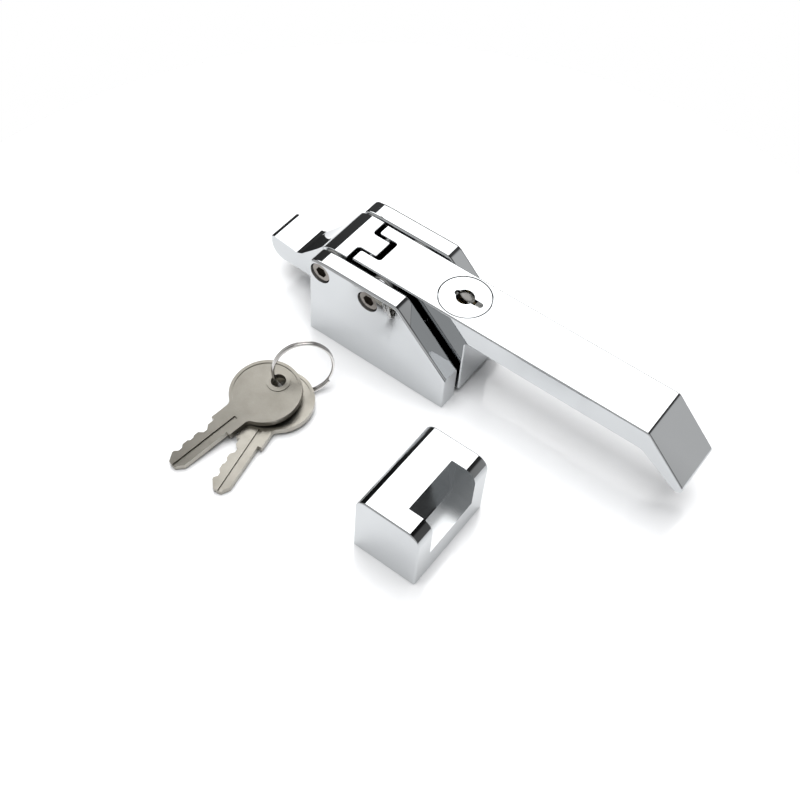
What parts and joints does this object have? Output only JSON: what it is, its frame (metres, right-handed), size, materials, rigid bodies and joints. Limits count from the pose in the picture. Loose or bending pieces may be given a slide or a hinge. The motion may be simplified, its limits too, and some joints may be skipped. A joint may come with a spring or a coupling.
{
  "type": "keyed window lock",
  "caption": "Chrome window latch with a key-locked lever that lifts a pivoting hook off its keeper, with keeper block, two keys and a split ring.",
  "frame": {"origin": "centre of the housing's four fixing holes, in the mounting face", "axes": "+X along the lever from the hook's nose to the grip, +Z out of the mounting face, +Y across the cheeks away from the pivot screw heads"},
  "size_m": [0.1512, 0.1005, 0.0318],
  "materials": {
    "chrome_casting": "bright chrome plate on a zinc casting",
    "chrome_face": "bright chrome, polished flat",
    "screw_steel": "dark nickel-plated steel",
    "sleeve_steel": "ground steel",
    "acetal": "natural acetal",
    "spring_steel": "spring steel",
    "nickel_brass": "nickel-plated brass",
    "brass_wafer": "bare brass",
    "zinc_steel": "zinc-plated steel",
    "key_nickel": "nickel-plated stamped key blank",
    "ring_steel": "bright nickel-plated wire"
  },
  "bodies": {
    "root": {"housing": "chrome_casting", "pivot_screws": "screw_steel", "hook_sleeve": "sleeve_steel", "lever_sleeve": "sleeve_steel", "hook_washers": "acetal", "lever_washers": "acetal", "disc_spring": "spring_steel"},
    "hook": {"hook": "chrome_casting"},
    "lever": {"lever": "chrome_casting", "drive_pin": "sleeve_steel", "cylinder_shell": "nickel_brass", "cylinder_clip": "spring_steel"},
    "plug": {"plug": "nickel_brass", "plug_cap": "chrome_face", "wafers": "brass_wafer", "wafer_springs": "spring_steel", "cam": "zinc_steel", "cam_screw": "zinc_steel"},
    "keeper": {"keeper": "chrome_casting"},
    "key_set": {"key_lower": "key_nickel", "key_upper": "key_nickel", "key_ring": "ring_steel"}
  },
  "joints": [
    {"name": "lever_lift", "type": "hinge", "parent": "root", "child": "lever", "pos_m": [-0.0008, 0, 0.0273], "axis": [0, -1, 0], "range_deg": [0, 30]},
    {"name": "hook_swing", "type": "hinge", "parent": "root", "child": "hook", "pos_m": [-0.0188, 0, 0.0273], "axis": [0, 1, 0], "range_deg": [0, 30]},
    {"name": "key_turn", "type": "hinge", "parent": "lever", "child": "plug", "pos_m": [0.0226, 0.0002, 0.0318], "axis": [0, 0, -1], "range_deg": [0, 90]},
    {"name": "keeper_lift", "type": "slide", "parent": "root", "child": "keeper", "axis": [0, 0, 1], "range_m": [0, 0.05]},
    {"name": "key_set_lift", "type": "slide", "parent": "root", "child": "key_set", "axis": [0, 0, 1], "range_m": [0, 0.05]}
  ],
  "couplings": [
    {"joint": "hook_swing", "follows": "lever_lift", "ratio": 1}
  ]
}
